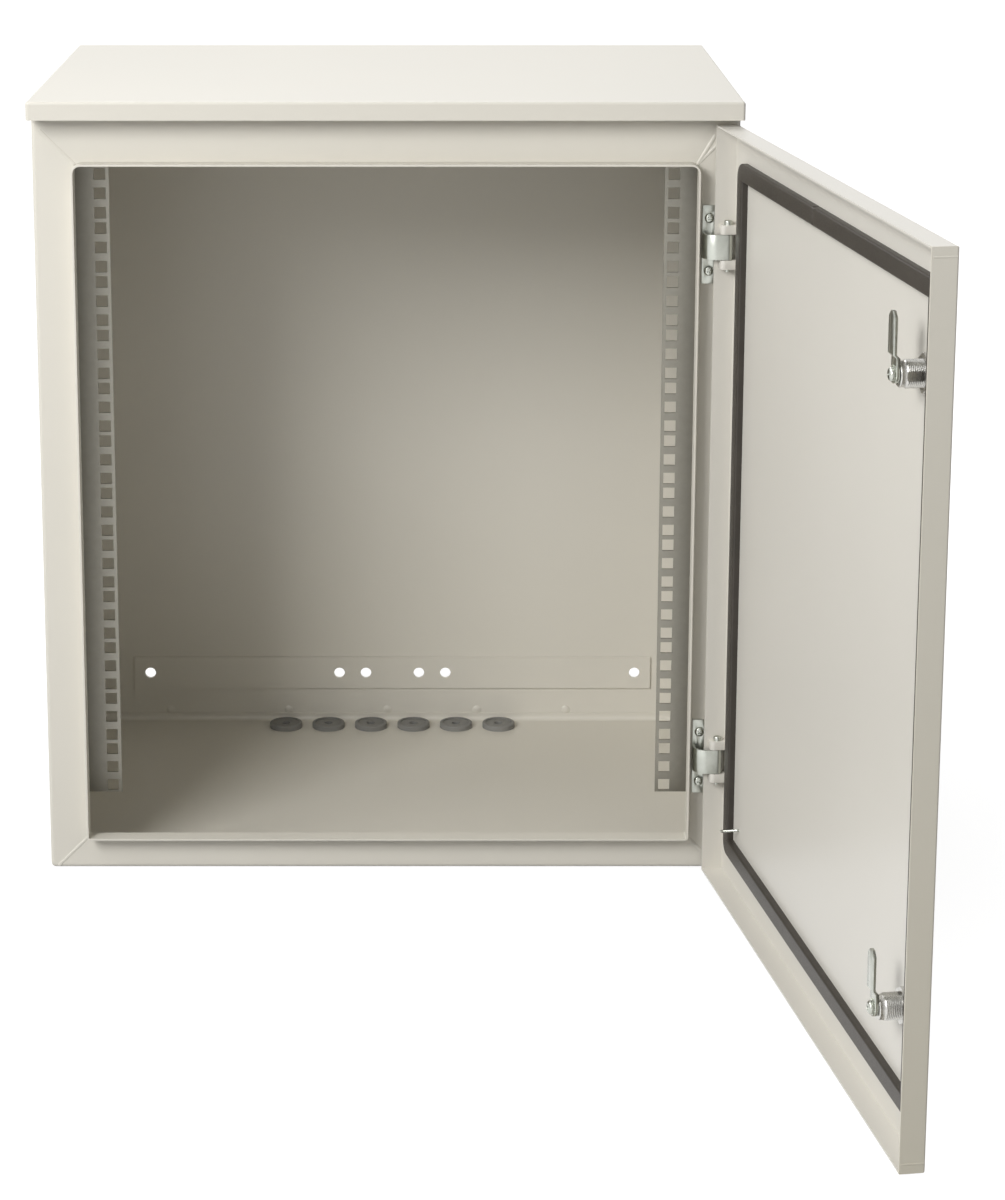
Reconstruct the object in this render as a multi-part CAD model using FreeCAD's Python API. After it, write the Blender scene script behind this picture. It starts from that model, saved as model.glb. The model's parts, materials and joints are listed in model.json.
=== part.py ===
import FreeCAD, Part
import math
import os

from FreeCAD import Vector

# Outdoor wall cabinet for 19 inch rack equipment, 12 units high, shown with its door open.
# All sizes are in millimetres. The origin is the centre of the cabinet's underside.
# +Z is up, +Y points to the wall behind the cabinet, and the front opening faces -Y.

# Welded body; its width and height follow from the rack rails inside it
BODY_DEPTH = 380.0
SHEET = 1.5
BODY_BEND_RADIUS = 3.5
FLOOR_UPSTAND_HEIGHT = 6.5
FLOOR_UPSTAND_BEND = 4.0

# Front frame: a flange round the opening with a sealing lip that stands forward
FLANGE_SIDE_WIDTH = 33.3
FLANGE_BOTTOM_WIDTH = 29.9
FLANGE_TOP_WIDTH = 50.7
OPENING_TOP_CORNER_RADIUS = 6.0
OPENING_BOTTOM_CORNER_RADIUS = 1.5
LIP_THICKNESS = 1.7
LIP_PROJECTION = 14.0
LIP_EDGE_ROUND = 0.6
FRAME_TURN_DEPTH = 4.0
FRAME_BEND_RADIUS = 3.0

# Roof hood, slipped over the top of the body
ROOF_LIP_HEIGHT = 14.7
ROOF_OVERHANG = 22.0
ROOF_BACK_SETBACK = 9.0
ROOF_BEND_RADIUS = 2.2

# Rack rails
RACK_UNIT_HEIGHT = 44.45
RACK_UNIT_COUNT = 12
RACK_HOLE_HEIGHTS = (6.35, 22.225, 38.1)
RACK_HOLE_SPACING = 465.1
RACK_HOLE_SIZE = 9.5
RAIL_HOLE_EDGE_DISTANCE = 7.55
RAIL_FACE_WIDTH = 53.5
RAIL_SHEET = 2.0
RAIL_BEND_RADIUS = 3.0
RAIL_SIDE_DEPTH = 40.0
RAIL_SETBACK = 54.0
RAIL_BOTTOM = 46.8
RAIL_TOP_GAP = 60.5

# Wall plates: strips on the back wall with holes for the wall bolts
WALL_PLATE_SIDE_GAP = 35.0
WALL_PLATE_HEIGHT = 30.6
WALL_PLATE_THICKNESS = 2.0
WALL_PLATE_EDGE_DISTANCE = 48.2
WALL_HOLE_RADIUS = 5.0
WALL_HOLE_INNER_SPACING = 50.0
WALL_HOLE_MIDDLE_SPACING = 100.0
WALL_HOLE_END_DISTANCE = 15.0

# Cable grommets in the floor
GROMMET_COUNT = 6
GROMMET_PITCH = 40.0
GROMMET_RADIUS = 15.2
GROMMET_NECK_RADIUS = 12.5
GROMMET_BORE_RADIUS = 4.0
GROMMET_HEIGHT = 4.8
GROMMET_STEP_RADIUS = 12.2
GROMMET_STEP_HEIGHT = 1.0
GROMMET_EDGE_ROUND = 1.2
GROMMET_WALL_DISTANCE = 21.5

# Door pan
DOOR_SIDE_GAP = 3.0
DOOR_BOTTOM_GAP = 1.0
DOOR_ROOF_GAP = 5.0
DOOR_DEPTH = 18.0
DOOR_RIM_GAP = 3.5
DOOR_BEND_RADIUS = 1.6
DOOR_OPEN_ANGLE = 98.7

# Door gasket
GASKET_WIDTH = 14.0
GASKET_THICKNESS = 5.5
GASKET_SIDE_LAP = 8.7
GASKET_TOP_LAP = 7.4
GASKET_BOTTOM_LAP = 11.0
GASKET_CORNER_RADIUS = 12.0

# Hinges: a bent leaf on the frame, a pin, and two lugs on the door's return
HINGE_AXIS_INSET = 6.5
HINGE_AXIS_DEPTH = 8.4
HINGE_END_DISTANCE = 96.7
HINGE_SHEET = 1.6
HINGE_PIN_RADIUS = 2.0
HINGE_RUNNING_CLEARANCE = 0.1
HINGE_STRAP_HEIGHT = 20.0
HINGE_PLATE_HEIGHT = 63.0
HINGE_PLATE_WIDTH = 11.2
HINGE_PLATE_LIP_GAP = 2.8
HINGE_SCREW_SPACING = 42.5
HINGE_SCREW_HOLE_RADIUS = 2.1
HINGE_ROOT_RADIUS = 1.8
HINGE_NECK_RADIUS = 10.0
HINGE_ROLL_ANGLE = 285.0
LUG_HEIGHT = 7.4
LUG_GAP = 0.4
LUG_NOSE = 4.0
LUG_REACH = 6.4
LUG_CORNER_RADIUS = 4.0
PIN_HEAD_RADIUS = 3.2
PIN_HEAD_HEIGHT = 3.6
PIN_HEAD_ROUND = 1.0
PIN_END_LENGTH = 2.0

# Cam locks
LOCK_EDGE_DISTANCE = 52.0
LOCK_TOP_DISTANCE = 91.5
LOCK_BOTTOM_DISTANCE = 96.3
LOCK_RADIUS = 9.5
LOCK_ACROSS_FLATS = 17.2
UPRIGHT_FLATS = ("upper",)
LOCK_HOLE_CLEARANCE = 0.2
LOCK_LENGTH = 19.4
LOCK_HEAD_RADIUS = 13.0
LOCK_HEAD_HEIGHT = 2.5
LOCK_HEAD_CHAMFER = 0.8
LOCK_KEY_RADIUS = 7.0
LOCK_KEY_DEPTH = 1.5
LOCK_KEY_BAR_WIDTH = 3.0
LOCK_KEY_BAR_DEPTH = 0.5
NUT_CORNERS = 6
NUT_ACROSS_FLATS = 24.0
NUT_THICKNESS = 3.2
NUT_CHAMFER = 0.6
CAM_CLEARANCE = 0.3
CAM_THICKNESS = 2.5
CAM_CRANK = 2.5
CAM_WIDTH = 12.0
CAM_LENGTH = 41.5
CAM_CRANK_START = 11.0
CAM_TIP_CHAMFER = 4.0
CAM_SCREW_RADIUS = 4.5
CAM_SCREW_HEIGHT = 3.2
CAM_SCREW_ROUND = 1.0

# Earth stud on the inside of the door
STUD_RADIUS = 1.1
STUD_LENGTH = 15.5
STUD_EDGE_DISTANCE = 56.0
STUD_HEIGHT = 55.3

# Places worked out from the sizes above
RAIL_INNER_EDGE = RACK_HOLE_SPACING / 2 - RAIL_HOLE_EDGE_DISTANCE
BODY_HALF = RAIL_INNER_EDGE + RAIL_FACE_WIDTH + SHEET
RAIL_TOP = RAIL_BOTTOM + RACK_UNIT_COUNT * RACK_UNIT_HEIGHT
BODY_HEIGHT = RAIL_TOP + RAIL_TOP_GAP
FRONT = -BODY_DEPTH / 2
BACK = BODY_DEPTH / 2
BACK_INSIDE = BACK - SHEET
SIDE_INSIDE = BODY_HALF - SHEET
OPENING_HALF = BODY_HALF - FLANGE_SIDE_WIDTH
OPENING_BOTTOM = FLANGE_BOTTOM_WIDTH
OPENING_TOP = BODY_HEIGHT - FLANGE_TOP_WIDTH
LIP_FRONT = FRONT - LIP_PROJECTION
ROOF_FRONT = FRONT - ROOF_OVERHANG
ROOF_BACK = BACK - ROOF_BACK_SETBACK
ROOF_HALF = BODY_HALF + SHEET
ROOF_TOP = BODY_HEIGHT + SHEET
ROOF_BOTTOM = ROOF_TOP - ROOF_LIP_HEIGHT
RAIL_FRONT = FRONT + RAIL_SETBACK
WALL_PLATE_HALF = SIDE_INSIDE - WALL_PLATE_SIDE_GAP
WALL_HOLE_PLACES = (
    WALL_HOLE_INNER_SPACING / 2,
    WALL_HOLE_MIDDLE_SPACING / 2,
    WALL_PLATE_HALF - WALL_HOLE_END_DISTANCE,
)

DOOR_HALF = BODY_HALF - DOOR_SIDE_GAP
DOOR_BOTTOM = DOOR_BOTTOM_GAP
DOOR_TOP = ROOF_BOTTOM - DOOR_ROOF_GAP
DOOR_OUTSIDE = FRONT - DOOR_RIM_GAP - DOOR_DEPTH
DOOR_INSIDE = DOOR_OUTSIDE + SHEET
DOOR_RIM = DOOR_OUTSIDE + DOOR_DEPTH
HINGE_X = DOOR_HALF - HINGE_AXIS_INSET
HINGE_Y = DOOR_OUTSIDE + HINGE_AXIS_DEPTH
HINGE_HEIGHTS = {
    "upper": DOOR_TOP - HINGE_END_DISTANCE,
    "lower": DOOR_BOTTOM + HINGE_END_DISTANCE,
}
LOCK_X = -DOOR_HALF + LOCK_EDGE_DISTANCE
LOCK_HEIGHTS = {
    "upper": DOOR_TOP - LOCK_TOP_DISTANCE,
    "lower": DOOR_BOTTOM + LOCK_BOTTOM_DISTANCE,
}

# A length that reaches past anything that is cut
PAST = 100.0
# Overlap that makes a cutting tool pass through a face
OVER = 1.0
# Distance inside the opening where the mitre cutting tools start
MITRE_START = 25.0
# Difference below which two places count as the same
TOLERANCE = 0.001
# Directions in the XY plane, in degrees
TO_WALL = 90.0
TO_LEFT = 180.0
TO_FRONT = 270.0


def box(x0, x1, y0, y1, z0, z1):
    """Block between two corners."""
    return Part.makeBox(x1 - x0, y1 - y0, z1 - z0, Vector(x0, y0, z0))


def rounded_block(x0, x1, y0, y1, z0, z1, radius):
    """Block whose four edges along Y are rounded."""
    block = box(x0, x1, y0, y1, z0, z1)
    return block.makeFillet(radius, edges_along_y(block))


def polygon_prism(points, y0, y1):
    """Prism along Y over a polygon of (x, z) points."""
    corners = [Vector(x, y0, z) for x, z in points]
    face = Part.Face(Part.makePolygon(corners + corners[:1]))
    return face.extrude(Vector(0, y1 - y0, 0))


def cylinder_y(radius, x, z, y0, y1):
    """Cylinder along Y."""
    return Part.makeCylinder(radius, y1 - y0, Vector(x, y0, z), Vector(0, 1, 0))


def cylinder_z(radius, x, y, z0, z1):
    """Cylinder along Z."""
    return Part.makeCylinder(radius, z1 - z0, Vector(x, y, z0))


def edges_along_y(block):
    """Edges of a block that run from front to back."""
    return [edge for edge in block.Edges if edge.BoundBox.YLength > TOLERANCE]


def lies_at_y(edge, y):
    """Whether an edge lies wholly in the plane at y."""
    bounds = edge.BoundBox
    return abs(bounds.YMin - y) < TOLERANCE and abs(bounds.YMax - y) < TOLERANCE


def edges_at_y(shape, y):
    """Edges of a shape that lie wholly in the plane at y."""
    return [edge for edge in shape.Edges if lies_at_y(edge, y)]


def edges_at_z(shape, z):
    """Edges of a shape that lie wholly in the plane at z."""
    found = []
    for edge in shape.Edges:
        bounds = edge.BoundBox
        if abs(bounds.ZMin - z) < TOLERANCE and abs(bounds.ZMax - z) < TOLERANCE:
            found.append(edge)
    return found


def body_outline(inset, y0, y1):
    """Rounded block of the body's cross-section, drawn in by an inset."""
    return rounded_block(
        -BODY_HALF + inset, BODY_HALF - inset, y0, y1, inset, BODY_HEIGHT - inset, BODY_BEND_RADIUS - inset
    )


def opening_outline(outset, y0, y1):
    """Block of the front opening, grown by an outset, with its upper corners rounder than its lower ones."""
    half = OPENING_HALF + outset
    middle = BODY_HEIGHT / 2
    block = box(-half, half, y0, y1, OPENING_BOTTOM - outset, OPENING_TOP + outset)
    upper = [edge for edge in edges_along_y(block) if edge.BoundBox.ZMin > middle]
    block = block.makeFillet(OPENING_TOP_CORNER_RADIUS + outset, upper)
    lower = [edge for edge in edges_along_y(block) if edge.BoundBox.ZMax < middle]
    return block.makeFillet(OPENING_BOTTOM_CORNER_RADIUS + outset, lower)


def grommet_places():
    """X positions of the grommets and their shared Y."""
    first = -GROMMET_PITCH * (GROMMET_COUNT - 1) / 2
    y = BACK_INSIDE - GROMMET_WALL_DISTANCE
    return [(first + index * GROMMET_PITCH, y) for index in range(GROMMET_COUNT)]


def wall_hole_cutters(z):
    """Cylinders that drill one row of wall bolt holes through plate and back wall."""
    cutters = []
    for place in WALL_HOLE_PLACES:
        for side in (-1, 1):
            y0 = BACK_INSIDE - WALL_PLATE_THICKNESS - OVER
            cutters.append(cylinder_y(WALL_HOLE_RADIUS, side * place, z, y0, BACK + OVER))
    return cutters


def wall_plate_heights():
    """Heights of the lower and the upper row of wall bolt holes."""
    return {"lower": WALL_PLATE_EDGE_DISTANCE, "upper": BODY_HEIGHT - WALL_PLATE_EDGE_DISTANCE}


def body_panels():
    """Side, top, floor and back panels of the welded body."""
    y0 = FRONT + FRAME_TURN_DEPTH
    tube = body_outline(0, y0, BACK).cut(body_outline(SHEET, y0 - OVER, BACK + OVER))
    inner = BODY_HALF - BODY_BEND_RADIUS
    middle = BODY_HEIGHT / 2
    low = -PAST
    high = BODY_HEIGHT + PAST
    parts = {
        "left_side_panel": tube.common(box(-BODY_HALF - PAST, -inner, y0, BACK, low, high)),
        "right_side_panel": tube.common(box(inner, BODY_HALF + PAST, y0, BACK, low, high)),
        "top_panel": tube.common(box(-inner, inner, y0, BACK, middle, high)),
    }
    floor = tube.common(box(-inner, inner, y0, BACK, low, middle))
    upstand = box(-inner, inner, BACK_INSIDE - SHEET, BACK_INSIDE, 0, SHEET + FLOOR_UPSTAND_HEIGHT)
    floor = floor.fuse(upstand).removeSplitter()
    bend = [edge for edge in edges_at_z(floor, SHEET) if lies_at_y(edge, BACK_INSIDE - SHEET)]
    floor = floor.makeFillet(FLOOR_UPSTAND_BEND, bend)
    for x, y in grommet_places():
        floor = floor.cut(cylinder_z(GROMMET_NECK_RADIUS, x, y, -OVER, SHEET + OVER))
    parts["floor_panel"] = floor
    back = body_outline(SHEET, BACK_INSIDE, BACK)
    for z in wall_plate_heights().values():
        back = back.cut(wall_hole_cutters(z))
    parts["back_panel"] = back
    return parts


def wall_plates():
    """Reinforcing strips on the inside of the back wall."""
    parts = {}
    half = WALL_PLATE_HALF
    for name, z in wall_plate_heights().items():
        y0 = BACK_INSIDE - WALL_PLATE_THICKNESS
        z0 = z - WALL_PLATE_HEIGHT / 2
        plate = box(-half, half, y0, BACK_INSIDE, z0, z0 + WALL_PLATE_HEIGHT)
        parts[name + "_wall_plate"] = plate.cut(wall_hole_cutters(z))
    return parts


def front_frame():
    """Flange and sealing lip round the opening, mitred into four pieces."""
    skirt_back = FRONT + FRAME_TURN_DEPTH
    outer = body_outline(0, FRONT, skirt_back)
    outer = outer.makeFillet(FRAME_BEND_RADIUS, edges_at_y(outer, FRONT))
    inner = body_outline(SHEET, FRONT + SHEET, skirt_back + OVER)
    inner = inner.makeFillet(FRAME_BEND_RADIUS - SHEET, edges_at_y(inner, FRONT + SHEET))
    flange = outer.cut(inner)
    lip = opening_outline(LIP_THICKNESS, LIP_FRONT, FRONT + SHEET)
    lip = lip.makeFillet(LIP_EDGE_ROUND, edges_at_y(lip, LIP_FRONT))
    ring = flange.fuse(lip).cut(opening_outline(0, LIP_FRONT - OVER, skirt_back + OVER)).removeSplitter()
    x_in = OPENING_HALF - MITRE_START
    z_low = OPENING_BOTTOM + MITRE_START
    z_high = OPENING_TOP - MITRE_START
    x_out = OPENING_HALF + PAST
    z_under = OPENING_BOTTOM - PAST
    z_over = OPENING_TOP + PAST
    wedges = {
        "frame_left": [(-x_in, z_low), (-x_in, z_high), (-x_out, z_over), (-x_out, z_under)],
        "frame_right": [(x_in, z_low), (x_in, z_high), (x_out, z_over), (x_out, z_under)],
        "frame_top": [(-x_in, z_high), (x_in, z_high), (x_out, z_over), (-x_out, z_over)],
        "frame_bottom": [(-x_in, z_low), (x_in, z_low), (x_out, z_under), (-x_out, z_under)],
    }
    y0 = LIP_FRONT - OVER
    y1 = skirt_back + OVER
    return {name: ring.common(polygon_prism(points, y0, y1)) for name, points in wedges.items()}


def roof_hood():
    """Folded roof hood with a turned-down lip at the front and both sides."""
    outer = box(-ROOF_HALF, ROOF_HALF, ROOF_FRONT, ROOF_BACK, ROOF_BOTTOM, ROOF_TOP)
    fold = [edge for edge in edges_at_z(outer, ROOF_TOP) if edge.BoundBox.YMin < ROOF_BACK - OVER]
    upright = []
    for edge in outer.Edges:
        bounds = edge.BoundBox
        if bounds.ZLength > OVER and bounds.YMax < ROOF_FRONT + OVER:
            upright.append(edge)
    outer = outer.makeFillet(ROOF_BEND_RADIUS, fold + upright)
    inner = box(
        -ROOF_HALF + SHEET, ROOF_HALF - SHEET, ROOF_FRONT + SHEET, ROOF_BACK + OVER,
        ROOF_BOTTOM - OVER, ROOF_TOP - SHEET
    )
    return {"roof_hood": outer.cut(inner)}


def rack_rails():
    """Pair of angle rails with square holes for cage nuts."""
    parts = {}
    for side, name in ((-1, "left_rack_rail"), (1, "right_rack_rail")):
        x0 = min(side * RAIL_INNER_EDGE, side * SIDE_INSIDE)
        x1 = max(side * RAIL_INNER_EDGE, side * SIDE_INSIDE)
        angle = box(x0, x1, RAIL_FRONT, RAIL_FRONT + RAIL_SIDE_DEPTH, RAIL_BOTTOM, RAIL_TOP)
        corner = []
        for edge in angle.Edges:
            bounds = edge.BoundBox
            at_wall = abs(bounds.Center.x - side * SIDE_INSIDE) < OVER
            if bounds.ZLength > OVER and at_wall and bounds.YMax < RAIL_FRONT + OVER:
                corner.append(edge)
        angle = angle.makeFillet(RAIL_BEND_RADIUS, corner)
        wall_side = side * (SIDE_INSIDE - RAIL_SHEET)
        x0 = min(side * (RAIL_INNER_EDGE - OVER), wall_side)
        x1 = max(side * (RAIL_INNER_EDGE - OVER), wall_side)
        hollow = box(
            x0, x1, RAIL_FRONT + RAIL_SHEET, RAIL_FRONT + RAIL_SIDE_DEPTH + OVER,
            RAIL_BOTTOM - OVER, RAIL_TOP + OVER
        )
        angle = angle.cut(hollow)
        x = side * RACK_HOLE_SPACING / 2
        half = RACK_HOLE_SIZE / 2
        cutters = []
        for unit in range(RACK_UNIT_COUNT):
            for height in RACK_HOLE_HEIGHTS:
                z = RAIL_BOTTOM + unit * RACK_UNIT_HEIGHT + height
                y0 = RAIL_FRONT - OVER
                y1 = RAIL_FRONT + RAIL_SHEET + OVER
                cutters.append(box(x - half, x + half, y0, y1, z - half, z + half))
        parts[name] = angle.cut(cutters)
    return parts


def grommets():
    """Rubber cable grommets, flush with the underside of the floor."""
    parts = {}
    for index, (x, y) in enumerate(grommet_places()):
        top = SHEET + GROMMET_HEIGHT
        flange = cylinder_z(GROMMET_RADIUS, x, y, SHEET, top)
        flange = flange.makeFillet(GROMMET_EDGE_ROUND, edges_at_z(flange, top))
        recess = cylinder_z(GROMMET_STEP_RADIUS, x, y, top - GROMMET_STEP_HEIGHT, top + OVER)
        neck = cylinder_z(GROMMET_NECK_RADIUS, x, y, 0, SHEET)
        bore = cylinder_z(GROMMET_BORE_RADIUS, x, y, -OVER, top + OVER)
        grommet = flange.cut(recess).fuse(neck).removeSplitter().cut(bore)
        parts["grommet_%d" % (index + 1)] = grommet
    return parts


def ring_sector(centre, radius, thickness, start, end):
    """Flat sector of a sheet bend in the XY plane, between two angles in degrees."""
    inner = radius - thickness / 2
    outer = radius + thickness / 2

    def at(distance, angle):
        turn = math.radians(angle)
        return centre + Vector(distance * math.cos(turn), distance * math.sin(turn), 0)

    middle = (start + end) / 2
    outside = Part.Arc(at(outer, start), at(outer, middle), at(outer, end)).toShape()
    inside = Part.Arc(at(inner, end), at(inner, middle), at(inner, start)).toShape()
    first = Part.makeLine(at(outer, end), at(inner, end))
    last = Part.makeLine(at(inner, start), at(outer, start))
    return Part.Face(Part.Wire([outside, first, inside, last]))


def strip_face(start, end, thickness):
    """Flat strip of sheet in the XY plane along a line."""
    along = (end - start).normalize()
    across = Vector(-along.y, along.x, 0) * (thickness / 2)
    corners = [start - across, end - across, end + across, start + across]
    return Part.Face(Part.makePolygon(corners + corners[:1]))


def hinge_leaf(z):
    """Frame leaf: a screwed plate whose middle tongue bends out and rolls round the pin."""
    pin = Vector(HINGE_X, HINGE_Y, 0)
    roll_radius = HINGE_PIN_RADIUS + HINGE_RUNNING_CLEARANCE + HINGE_SHEET / 2
    plate_left = OPENING_HALF + LIP_THICKNESS + HINGE_PLATE_LIP_GAP
    rise_x = plate_left + HINGE_SHEET / 2
    plate_y = FRONT - HINGE_SHEET / 2

    root = Vector(rise_x + HINGE_ROOT_RADIUS, plate_y - HINGE_ROOT_RADIUS, 0)
    roll_start = Vector(pin.x, pin.y - roll_radius, 0)
    neck = Vector(rise_x + HINGE_NECK_RADIUS, roll_start.y + HINGE_NECK_RADIUS, 0)
    neck_end = Vector(neck.x, roll_start.y, 0)

    pieces = [
        strip_face(Vector(root.x + HINGE_SHEET, plate_y, 0), Vector(root.x, plate_y, 0), HINGE_SHEET),
        ring_sector(root, HINGE_ROOT_RADIUS, HINGE_SHEET, TO_WALL, TO_LEFT),
        strip_face(Vector(rise_x, root.y, 0), Vector(rise_x, neck.y, 0), HINGE_SHEET),
        ring_sector(neck, HINGE_NECK_RADIUS, HINGE_SHEET, TO_LEFT, TO_FRONT),
        strip_face(neck_end, roll_start, HINGE_SHEET),
        ring_sector(pin, roll_radius, HINGE_SHEET, TO_FRONT, TO_FRONT + HINGE_ROLL_ANGLE),
    ]
    half = HINGE_STRAP_HEIGHT / 2
    solids = []
    for piece in pieces:
        piece.translate(Vector(0, 0, z - half))
        solids.append(piece.extrude(Vector(0, 0, HINGE_STRAP_HEIGHT)))
    tongue = solids[0].fuse(solids[1:])

    half = HINGE_PLATE_HEIGHT / 2
    plate = box(plate_left, plate_left + HINGE_PLATE_WIDTH, FRONT - HINGE_SHEET, FRONT, z - half, z + half)
    window = box(
        plate_left - OVER, root.x, FRONT - PAST, FRONT + OVER,
        z - HINGE_STRAP_HEIGHT / 2, z + HINGE_STRAP_HEIGHT / 2
    )
    leaf = plate.cut(window).fuse(tongue).removeSplitter()
    x = plate_left + HINGE_PLATE_WIDTH / 2
    for side in (-1, 1):
        screw_z = z + side * HINGE_SCREW_SPACING / 2
        leaf = leaf.cut(cylinder_y(HINGE_SCREW_HOLE_RADIUS, x, screw_z, FRONT - PAST, FRONT + OVER))
    return leaf


def hinge_lugs(z):
    """Two lugs in the corner of the door sheet and its hinge-side return, above and below the strap."""
    nose = HINGE_X - LUG_NOSE
    end = HINGE_Y + LUG_REACH
    lugs = []
    for side in (-1, 1):
        near = HINGE_STRAP_HEIGHT / 2 + LUG_GAP
        far = near + LUG_HEIGHT
        z0 = z + min(side * near, side * far)
        z1 = z + max(side * near, side * far)
        lug = box(nose, DOOR_HALF - SHEET, DOOR_INSIDE, end, z0, z1)
        corner = [
            edge for edge in lug.Edges
            if abs(edge.BoundBox.XMax - nose) < TOLERANCE and abs(edge.BoundBox.YMin - end) < TOLERANCE
        ]
        lug = lug.makeFillet(LUG_CORNER_RADIUS, corner)
        lugs.append(lug.cut(cylinder_z(HINGE_PIN_RADIUS, HINGE_X, HINGE_Y, z0 - OVER, z1 + OVER)))
    return Part.makeCompound(lugs)


def hinge_pin(z):
    """Pin with a round head on the upper lug and a plain end below the lower one."""
    half = HINGE_STRAP_HEIGHT / 2 + LUG_GAP + LUG_HEIGHT
    top = z + half + PIN_HEAD_HEIGHT
    pin = cylinder_z(HINGE_PIN_RADIUS, HINGE_X, HINGE_Y, z - half - PIN_END_LENGTH, z + half)
    head = cylinder_z(PIN_HEAD_RADIUS, HINGE_X, HINGE_Y, z + half, top)
    head = head.makeFillet(PIN_HEAD_ROUND, edges_at_z(head, top))
    return pin.fuse(head).removeSplitter()


def door_panel():
    """Door pan: a sheet with four returns folded back towards the body."""
    outer = box(-DOOR_HALF, DOOR_HALF, DOOR_OUTSIDE, DOOR_RIM, DOOR_BOTTOM, DOOR_TOP)
    outer = outer.makeFillet(DOOR_BEND_RADIUS, edges_at_y(outer, DOOR_OUTSIDE))
    hollow = box(
        -DOOR_HALF + SHEET, DOOR_HALF - SHEET, DOOR_INSIDE, DOOR_RIM + OVER,
        DOOR_BOTTOM + SHEET, DOOR_TOP - SHEET
    )
    pan = outer.cut(hollow)
    for name in LOCK_HEIGHTS:
        pan = pan.cut(lock_barrel(name, DOOR_OUTSIDE - OVER, DOOR_INSIDE + OVER, LOCK_HOLE_CLEARANCE))
    return pan


def door_gasket():
    """Foam strip round the inside of the door, where the lip presses."""
    inner_half = OPENING_HALF - GASKET_SIDE_LAP
    outer_half = inner_half + GASKET_WIDTH
    z0 = OPENING_BOTTOM + GASKET_BOTTOM_LAP
    z1 = OPENING_TOP - GASKET_TOP_LAP
    y0 = DOOR_INSIDE
    y1 = DOOR_INSIDE + GASKET_THICKNESS
    outer = rounded_block(
        -outer_half, outer_half, y0, y1, z0 - GASKET_WIDTH, z1 + GASKET_WIDTH, GASKET_CORNER_RADIUS
    )
    return outer.cut(box(-inner_half, inner_half, y0 - OVER, y1 + OVER, z0, z1))


def lock_barrel(name, y0, y1, clearance=0):
    """Round barrel with two flats, or the hole that it passes through."""
    z = LOCK_HEIGHTS[name]
    half = LOCK_ACROSS_FLATS / 2 + clearance
    barrel = cylinder_y(LOCK_RADIUS + clearance, LOCK_X, z, y0, y1)
    if name in UPRIGHT_FLATS:
        return barrel.common(box(LOCK_X - half, LOCK_X + half, y0, y1, z - PAST, z + PAST))
    return barrel.common(box(LOCK_X - PAST, LOCK_X + PAST, y0, y1, z - half, z + half))


def lock_body(name):
    """Lock barrel with its round head and key well on the outside of the door."""
    z = LOCK_HEIGHTS[name]
    barrel = lock_barrel(name, DOOR_OUTSIDE, DOOR_INSIDE + LOCK_LENGTH)
    face = DOOR_OUTSIDE - LOCK_HEAD_HEIGHT
    head = cylinder_y(LOCK_HEAD_RADIUS, LOCK_X, z, face, DOOR_OUTSIDE)
    head = head.makeChamfer(LOCK_HEAD_CHAMFER, edges_at_y(head, face))
    well = cylinder_y(LOCK_KEY_RADIUS, LOCK_X, z, face - OVER, face + LOCK_KEY_DEPTH)
    half = LOCK_KEY_BAR_WIDTH / 2
    bar = box(
        LOCK_X - LOCK_KEY_RADIUS, LOCK_X + LOCK_KEY_RADIUS,
        face + LOCK_KEY_BAR_DEPTH, face + LOCK_KEY_DEPTH, z - half, z + half
    )
    return barrel.fuse(head.cut(well)).fuse(bar).removeSplitter()


def lock_nut(name):
    """Hexagonal nut that clamps the lock to the door sheet, with a corner at the top."""
    z = LOCK_HEIGHTS[name]
    radius = NUT_ACROSS_FLATS / 2 / math.cos(math.pi / NUT_CORNERS)
    points = []
    for index in range(NUT_CORNERS):
        turn = 2 * math.pi * index / NUT_CORNERS
        points.append((LOCK_X + radius * math.sin(turn), z + radius * math.cos(turn)))
    y1 = DOOR_INSIDE + NUT_THICKNESS
    nut = polygon_prism(points, DOOR_INSIDE, y1)
    rounder = cylinder_y(radius, LOCK_X, z, DOOR_INSIDE, y1)
    rounder = rounder.makeChamfer(NUT_CHAMFER, edges_at_y(rounder, y1))
    return nut.common(rounder).cut(lock_barrel(name, DOOR_INSIDE - OVER, y1 + OVER))


def lock_cam(z):
    """Cranked cam that points up when unlocked and swings behind the front frame when locked."""
    y0 = DOOR_INSIDE + LOCK_LENGTH + CAM_CLEARANCE
    y1 = y0 + CAM_THICKNESS
    half = CAM_WIDTH / 2
    crank_end = CAM_CRANK_START + CAM_CRANK
    tip = CAM_LENGTH
    side = [
        Vector(LOCK_X - half, y0, z - half),
        Vector(LOCK_X - half, y0, z + CAM_CRANK_START),
        Vector(LOCK_X - half, y0 + CAM_CRANK, z + crank_end),
        Vector(LOCK_X - half, y0 + CAM_CRANK, z + tip),
        Vector(LOCK_X - half, y1 + CAM_CRANK, z + tip),
        Vector(LOCK_X - half, y1 + CAM_CRANK, z + crank_end),
        Vector(LOCK_X - half, y1, z + CAM_CRANK_START),
        Vector(LOCK_X - half, y1, z - half),
    ]
    cam = Part.Face(Part.makePolygon(side + side[:1])).extrude(Vector(CAM_WIDTH, 0, 0))
    outline = [
        (LOCK_X - half, z),
        (LOCK_X + half, z),
        (LOCK_X + half, z + tip - CAM_TIP_CHAMFER),
        (LOCK_X + half - CAM_TIP_CHAMFER, z + tip),
        (LOCK_X - half + CAM_TIP_CHAMFER, z + tip),
        (LOCK_X - half, z + tip - CAM_TIP_CHAMFER),
    ]
    back = y1 + CAM_CRANK + OVER
    blank = polygon_prism(outline, y0 - OVER, back)
    blank = blank.fuse(cylinder_y(half, LOCK_X, z, y0 - OVER, back))
    return cam.common(blank).removeSplitter()


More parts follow.
